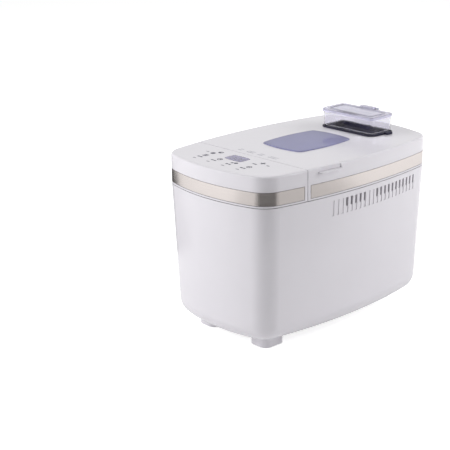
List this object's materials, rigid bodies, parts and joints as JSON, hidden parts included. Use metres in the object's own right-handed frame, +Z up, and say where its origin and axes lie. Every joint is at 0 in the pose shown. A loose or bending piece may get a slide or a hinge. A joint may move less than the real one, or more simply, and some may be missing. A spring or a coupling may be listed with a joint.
{
  "type": "bread machine",
  "caption": "Long free-standing bread machine with a hinged windowed lid, a clear fruit and nut dispenser with a trap door, a lift-out pan and a belt-driven kneading paddle.",
  "frame": {"origin": "on the floor under the middle of the machine's box", "axes": "+Z up, +X to the machine's right as seen from the control end, the control end faces -Y"},
  "size_m": [0.2578, 0.391, 0.3076],
  "materials": {
    "white_shell": "smooth white moulding with a soft gloss",
    "base_plastic": "fine matt moulding",
    "rubber": "matt black",
    "steel_fixings": "plated",
    "zinc_sheet": "rolled sheet",
    "machined_steel": "turned",
    "bronze": "sintered",
    "moulded_black": "fine matt moulding",
    "cast_metal": "die cast",
    "motor_steel": "satin grey",
    "heater_sheath": "heat-stained sheath",
    "board": "green laminate",
    "deck_plastic": "fine matt moulding",
    "steel_band": "fine brushing along the band",
    "display_cell": "grey display cell",
    "display_glass": "clear with a grey tint",
    "nonstick": "non-stick coating",
    "tinted_window": "lavender tint",
    "tray_plastic": "dark grey moulding",
    "clear_plastic": "clear with a lavender tint"
  },
  "bodies": {
    "housing": {"body_housing": "white_shell", "base_plate": "base_plastic", "feet": "white_shell", "foot_pads": "rubber", "base_screws": "steel_fixings", "drive_chassis": "zinc_sheet", "bearing_housing": "bronze", "drive_belt": "rubber", "motor": "motor_steel", "motor_screws": "steel_fixings", "oven_chamber": "zinc_sheet", "heating_element": "heater_sheath", "heater_clips": "zinc_sheet", "temperature_sensor": "machined_steel", "thermal_fuse": "moulded_black", "heat_shield": "zinc_sheet", "power_board": "board", "cord_gland": "rubber", "top_deck": "deck_plastic", "hinge_posts": "moulded_black", "control_housing": "white_shell", "front_band": "steel_band", "control_screws": "steel_fixings", "control_board": "board", "display_module": "display_cell", "display_lens": "display_glass", "pan_seat": "zinc_sheet"},
    "drive": {"drive_shaft": "machined_steel", "large_pulley": "moulded_black", "drive_coupler": "cast_metal"},
    "rotor": {"motor_shaft": "machined_steel", "motor_pulley": "moulded_black"},
    "pan": {"bread_pan": "nonstick", "pan_base_ring": "cast_metal", "pan_bush": "bronze", "pan_ears": "cast_metal"},
    "bail": {"pan_bail": "machined_steel"},
    "paddle": {"pan_shaft": "machined_steel", "pan_coupler": "cast_metal", "kneading_paddle": "nonstick"},
    "lid": {"lid_cover": "white_shell", "lid_band": "steel_band", "lid_window": "tinted_window", "lid_liner": "zinc_sheet", "lid_inner_glass": "tinted_window", "lid_gasket": "rubber", "liner_screws": "steel_fixings", "hinge_pins": "steel_fixings", "dispenser_tray": "tray_plastic", "flap_solenoid": "moulded_black"},
    "flap": {"dispenser_flap": "tray_plastic", "flap_pin": "steel_fixings"},
    "plunger": {"solenoid_plunger": "machined_steel"},
    "dispenser": {"dispenser_box": "clear_plastic"},
    "dispenser_cover": {"dispenser_lid": "clear_plastic", "dispenser_lid_pin": "steel_fixings"}
  },
  "joints": [
    {"name": "lid_hinge", "type": "hinge", "parent": "housing", "child": "lid", "pos_m": [0, 0.184, 0.2394], "axis": [-1, 0, 0], "range_deg": [0, 78]},
    {"name": "dispenser_lift", "type": "slide", "parent": "lid", "child": "dispenser", "axis": [0, 0, 1], "range_m": [0, 0.06]},
    {"name": "dispenser_lid_hinge", "type": "hinge", "parent": "dispenser", "child": "dispenser_cover", "pos_m": [0, 0.16025, 0.3051], "axis": [-1, 0, 0], "range_deg": [0, 100]},
    {"name": "flap_hinge", "type": "hinge", "parent": "lid", "child": "flap", "pos_m": [0, 0.13235, 0.2526], "axis": [1, 0, 0], "range_deg": [0, 75], "stiffness_Nm_per_rad": 0.01, "springref_deg": -57.3},
    {"name": "plunger_slide", "type": "slide", "parent": "lid", "child": "plunger", "axis": [0, -1, 0], "range_m": [0, 0.01532]},
    {"name": "pan_lift", "type": "slide", "parent": "housing", "child": "pan", "axis": [0, 0, 1], "range_m": [0, 0.012]},
    {"name": "bail_swing", "type": "hinge", "parent": "pan", "child": "bail", "pos_m": [0, 0.035, 0.2112], "axis": [0, -1, 0], "range_deg": [0, 20]},
    {"name": "drive_spin", "type": "hinge", "parent": "housing", "child": "drive", "pos_m": [0, 0.035, 0.0352], "axis": [0, 0, 1], "continuous": true},
    {"name": "motor_spin", "type": "hinge", "parent": "housing", "child": "rotor", "pos_m": [0, -0.133, 0.0352], "axis": [0, 0, 1], "continuous": true},
    {"name": "paddle_spin", "type": "hinge", "parent": "pan", "child": "paddle", "pos_m": [0, 0.035, 0.0642], "axis": [0, 0, 1], "continuous": true}
  ],
  "couplings": [
    {"joint": "plunger_slide", "follows": "flap_hinge", "m_per_rad": 0.011626},
    {"joint": "motor_spin", "follows": "drive_spin", "ratio": 5.2},
    {"joint": "paddle_spin", "follows": "drive_spin", "ratio": 1}
  ]
}
